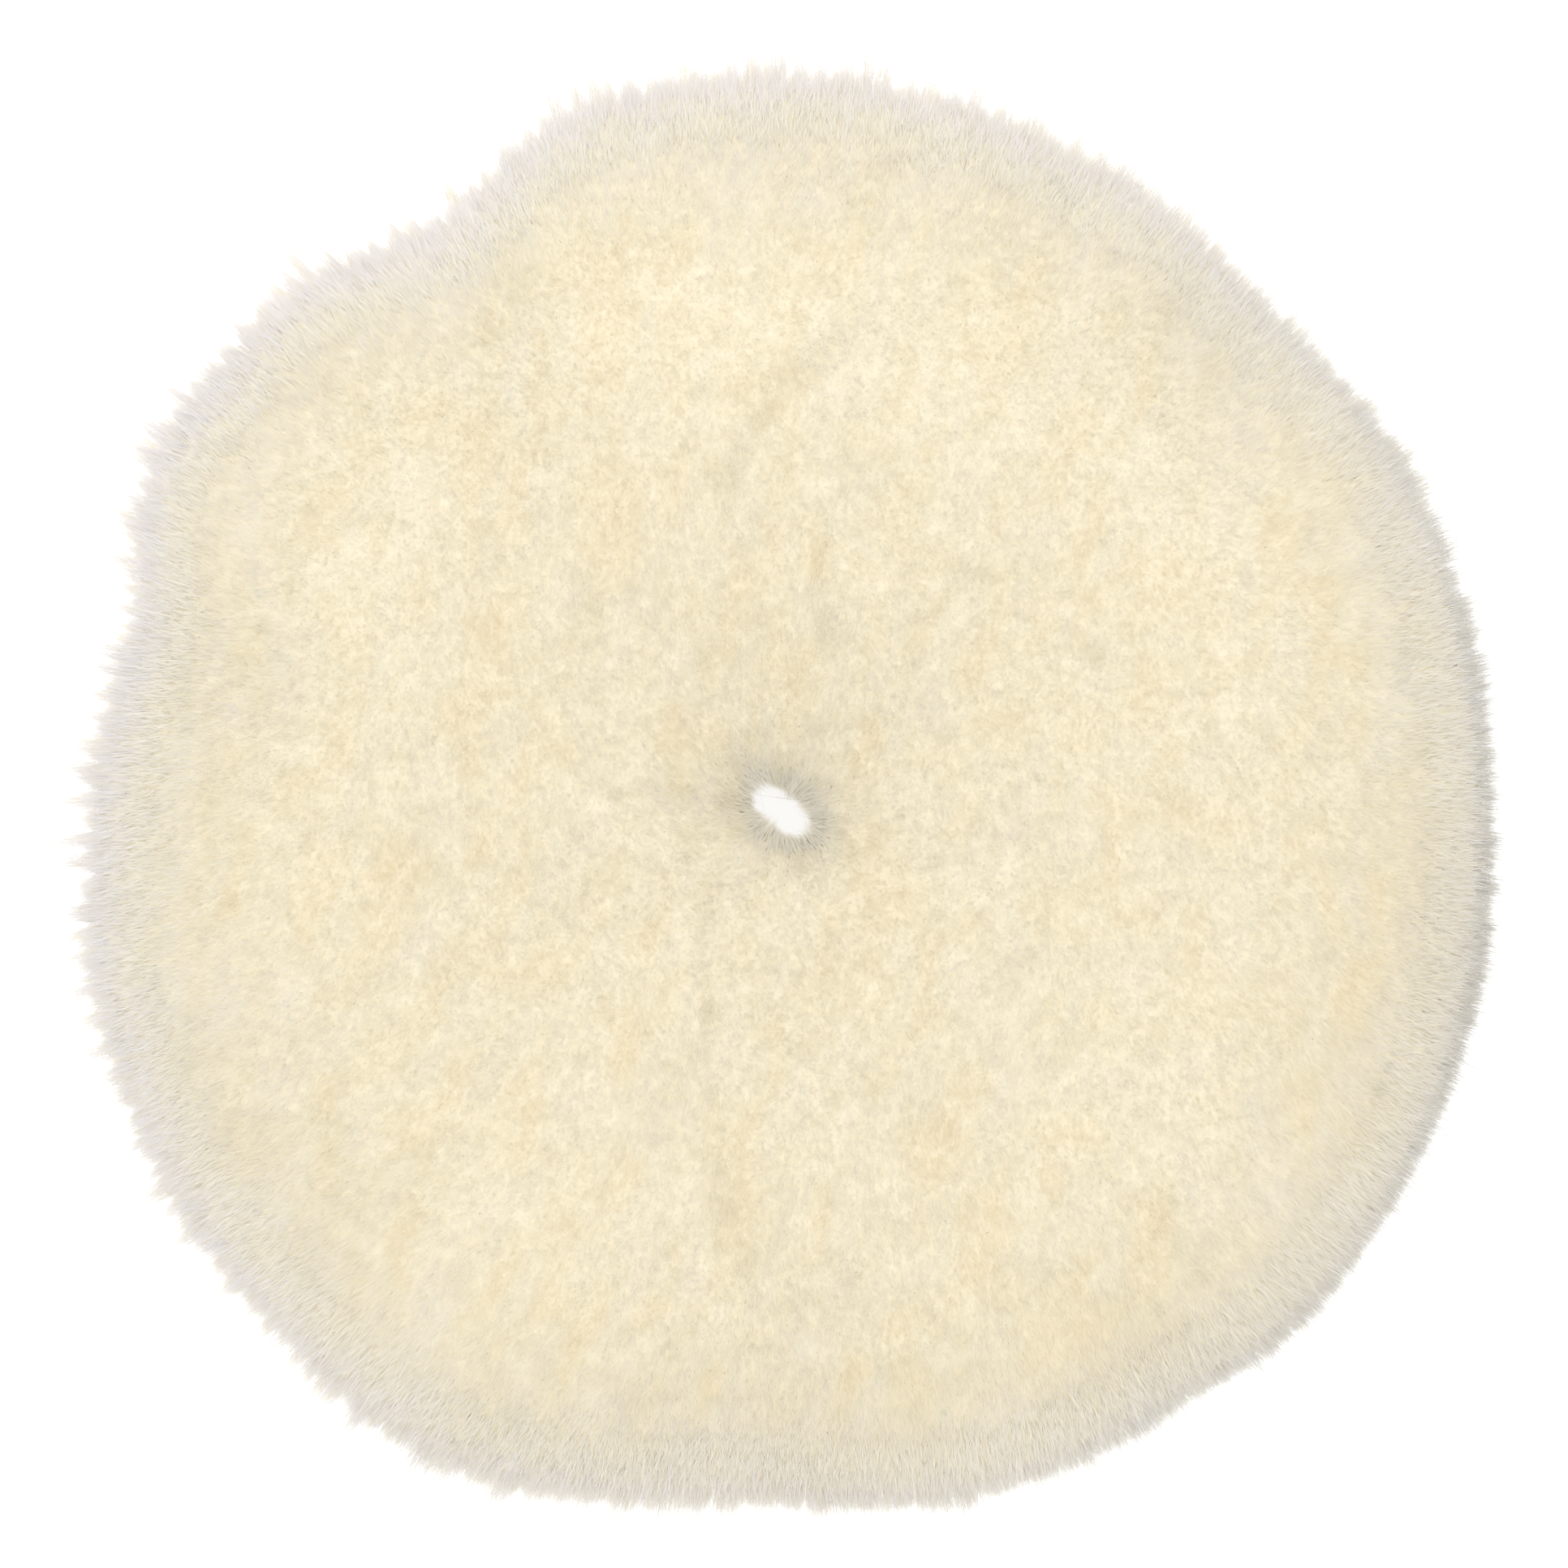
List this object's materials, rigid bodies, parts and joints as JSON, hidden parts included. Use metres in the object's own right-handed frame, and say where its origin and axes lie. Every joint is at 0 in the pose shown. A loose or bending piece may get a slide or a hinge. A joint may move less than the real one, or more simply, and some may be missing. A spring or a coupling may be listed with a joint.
{
  "type": "lambswool polishing pad",
  "caption": "Round lambswool polishing pad with a hook-and-loop back, a foam interlayer and a small centring hole that the wool nearly closes.",
  "frame": {"origin": "on the axis of the centring hole, at the loop face that the pad rests on", "axes": "+Z from the loop face towards the wool, +Y towards the top of the face-on view, +X to its right"},
  "size_m": [0.178, 0.178, 0.033],
  "materials": {
    "wool": "soft cream lambswool nap, clipped even, matt with a slight sheen",
    "lambskin": "tanned lambskin with a suede flesh side",
    "adhesive": "dried contact adhesive film",
    "foam": "open-cell polyurethane foam",
    "loop_cloth": "brushed nylon loop pile on a knitted ground",
    "thread": "bonded polyester sewing thread"
  },
  "bodies": {
    "root": {"wool_pile": "wool", "lambskin_hide": "lambskin", "front_adhesive_film": "adhesive", "foam_interlayer": "foam", "rear_adhesive_film": "adhesive", "loop_backing": "loop_cloth", "rim_needle_thread": "thread", "rim_upper_looper_thread": "thread", "rim_lower_looper_thread": "thread", "centre_needle_thread": "thread", "centre_bobbin_thread": "thread"}
  },
  "joints": []
}
